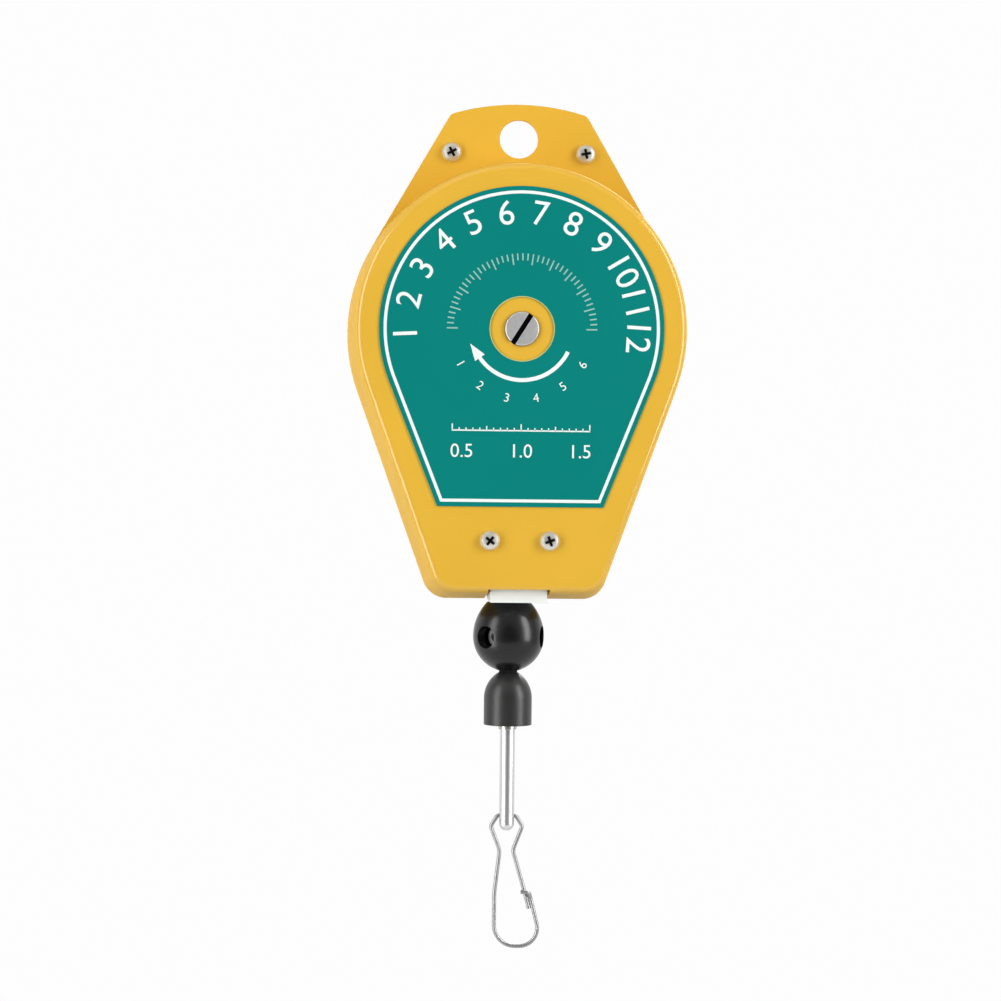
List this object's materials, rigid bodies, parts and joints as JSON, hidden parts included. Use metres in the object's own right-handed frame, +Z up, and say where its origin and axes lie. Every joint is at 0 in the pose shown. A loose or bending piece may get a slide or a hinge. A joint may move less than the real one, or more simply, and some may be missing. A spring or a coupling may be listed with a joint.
{
  "type": "tool balancer",
  "caption": "Hanging tool balancer: pear-shaped sheet-metal casing, spring-driven grooved drum with a steel cable, ball stop, swivel and snap hook, and a ratchet to set the tension.",
  "frame": {"origin": "centre of the hanging hole, on the joint plane between the front shell's flange and the back plate", "axes": "+Z up along the hanging cable, +X to the right seen from the front, -Y towards the front where the label is"},
  "size_m": [0.102, 0.0345, 0.2517],
  "materials": {
    "casing_paint": "satin yellow enamel",
    "label_film": "printed film",
    "guide_nylon": "natural nylon",
    "zinc_screw": "zinc plated",
    "drum_nylon": "moulded nylon",
    "bush_bronze": "sintered bronze",
    "washer_fibre": "fibre washer",
    "cable_steel": "stranded wire",
    "spindle_steel": "machined",
    "spring_steel": "blued strip",
    "stopper_moulding": "moulded",
    "hook_chrome": "nickel plated wire",
    "shank_steel": "plated"
  },
  "bodies": {
    "housing": {"front_shell": "casing_paint", "back_plate": "casing_paint", "front_label": "label_film", "cable_guide": "guide_nylon", "top_screws": "zinc_screw", "guide_screws": "zinc_screw", "nuts": "zinc_screw", "rear_bush": "bush_bronze", "pawl_pivot": "zinc_screw", "spring_post": "zinc_screw", "pawl_spring": "spring_steel", "cable_lead": "cable_steel", "cable_drop": "cable_steel"},
    "drum": {"cable_drum": "drum_nylon", "drum_cover": "drum_nylon", "drum_cover_screws": "zinc_screw", "drum_bushes": "bush_bronze", "cable_windings": "cable_steel", "cable_anchor": "zinc_screw", "power_spring": "spring_steel", "spring_anchor": "zinc_screw"},
    "spindle": {"spindle": "spindle_steel", "ratchet_wheel": "spindle_steel", "retaining_clip": "spring_steel", "thrust_washers": "washer_fibre"},
    "pawl": {"pawl": "spindle_steel"},
    "hanger": {"cable_tail": "cable_steel", "ball_stopper": "stopper_moulding", "stopper_sleeve": "zinc_screw", "stopper_screws": "zinc_screw", "bell_cover": "stopper_moulding", "cable_crimp": "zinc_screw", "swivel_barrel": "zinc_screw", "swivel_collar": "zinc_screw"},
    "shank": {"swivel_shank": "shank_steel"},
    "hook": {"hook": "hook_chrome"},
    "gate": {"hook_gate": "hook_chrome"}
  },
  "joints": [
    {"name": "cable_pull", "type": "slide", "parent": "housing", "child": "hanger", "axis": [0, 0, -1], "range_m": [0, 1], "stiffness_N_per_m": 5, "springref_m": -1.5, "deforming": ["cable_drop"]},
    {"name": "drum_turn", "type": "hinge", "parent": "housing", "child": "drum", "pos_m": [0, -0.013, -0.059], "axis": [0, -1, 0], "range_deg": [0, 1440]},
    {"name": "spindle_turn", "type": "hinge", "parent": "housing", "child": "spindle", "pos_m": [0, 0, -0.059], "axis": [0, 1, 0], "range_deg": [0, 28], "stiffness_Nm_per_rad": 0.01, "springref_deg": -57.3},
    {"name": "pawl_lift", "type": "hinge", "parent": "housing", "child": "pawl", "pos_m": [-0.013, 0.002, -0.048], "axis": [0, -1, 0], "range_deg": [0, 12], "stiffness_Nm_per_rad": 0.01, "springref_deg": -28.65, "deforming": ["pawl_spring"]},
    {"name": "shank_swivel", "type": "hinge", "parent": "hanger", "child": "shank", "pos_m": [-0.0023, -0.01312, -0.172], "axis": [0, 0, 1], "continuous": true},
    {"name": "hook_swing", "type": "hinge", "parent": "shank", "child": "hook", "pos_m": [-0.0023, -0.01312, -0.202], "axis": [1, 0, 0], "range_deg": [-120, 120]},
    {"name": "gate_open", "type": "hinge", "parent": "hook", "child": "gate", "pos_m": [-0.00035, -0.01312, -0.2123], "axis": [0, 1, 0], "range_deg": [0, 25], "stiffness_Nm_per_rad": 0.001, "springref_deg": -17.19}
  ],
  "couplings": [
    {"joint": "drum_turn", "follows": "cable_pull", "rad_per_m": 25},
    {"joint": "pawl_lift", "follows": "spindle_turn", "ratio": 0.2}
  ]
}
